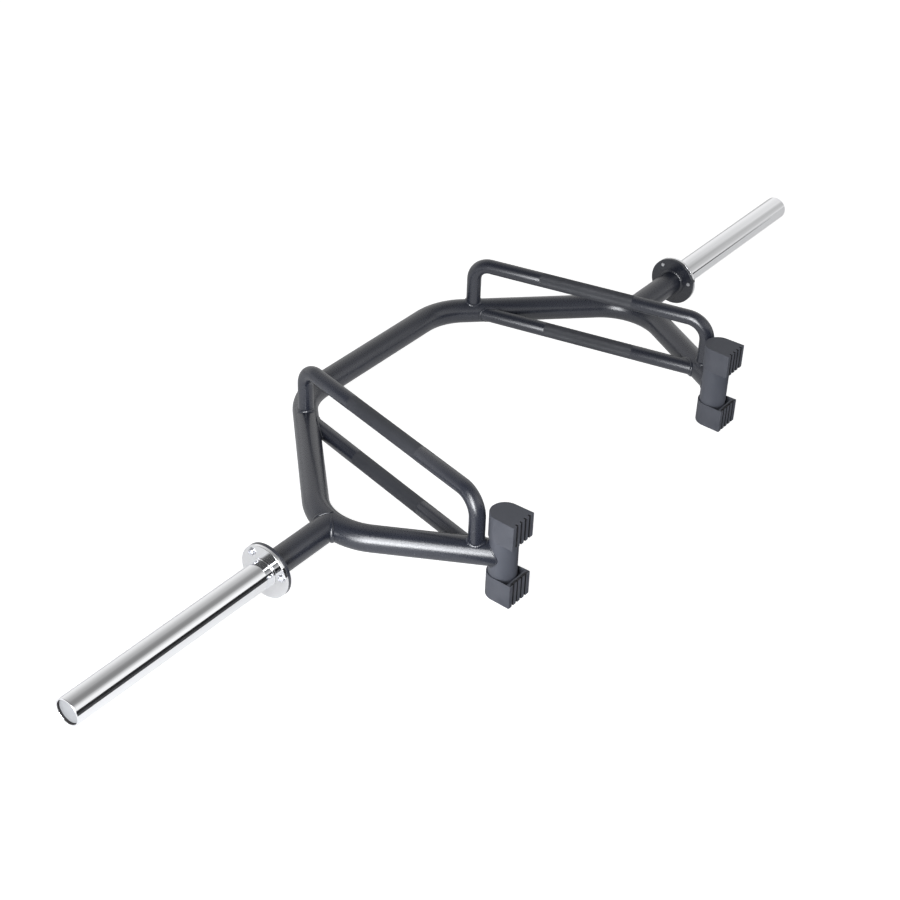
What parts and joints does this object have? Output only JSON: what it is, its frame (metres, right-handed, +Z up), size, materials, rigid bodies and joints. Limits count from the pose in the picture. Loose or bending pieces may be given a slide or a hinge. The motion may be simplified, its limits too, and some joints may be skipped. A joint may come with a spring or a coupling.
{
  "type": "trap bar",
  "caption": "Open-back hexagonal weightlifting bar: bent tube frame, high and low side grips, bolted chrome plate sleeves and two posts with ribbed rubber feet.",
  "frame": {"origin": "on the floor plane under the lower feet, at the centre of the bar's outline seen from above; the sleeve axis lies 84.5 mm above it and 5 mm behind it", "axes": "+X along the sleeves to the bar's right, +Y to the closed front of the frame, +Z up with the raised grips on top"},
  "size_m": [2.144, 0.633, 0.2097],
  "materials": {
    "powder_coat": "satin charcoal powder coat",
    "chrome": "bright polished",
    "zinc": "bright zinc",
    "grey_rubber": "matte moulded"
  },
  "bodies": {
    "root": {"main_frame_tube": "powder_coat", "stub_tube_left": "powder_coat", "stub_tube_right": "powder_coat", "frame_flange_left": "powder_coat", "frame_flange_right": "powder_coat", "lower_grip_left": "powder_coat", "lower_grip_right": "powder_coat", "raised_grip_left": "powder_coat", "raised_grip_right": "powder_coat", "foot_post_left": "powder_coat", "foot_post_right": "powder_coat", "sleeve_flange_left": "chrome", "sleeve_flange_right": "chrome", "sleeve_tube_left": "chrome", "sleeve_tube_right": "chrome", "sleeve_end_cap_left": "chrome", "sleeve_end_cap_right": "chrome", "flange_screw_left_1": "zinc", "flange_screw_left_2": "zinc", "flange_screw_left_3": "zinc", "flange_screw_right_1": "zinc", "flange_screw_right_2": "zinc", "flange_screw_right_3": "zinc", "upper_foot_left": "grey_rubber", "upper_foot_right": "grey_rubber", "lower_foot_left": "grey_rubber", "lower_foot_right": "grey_rubber"}
  },
  "joints": []
}
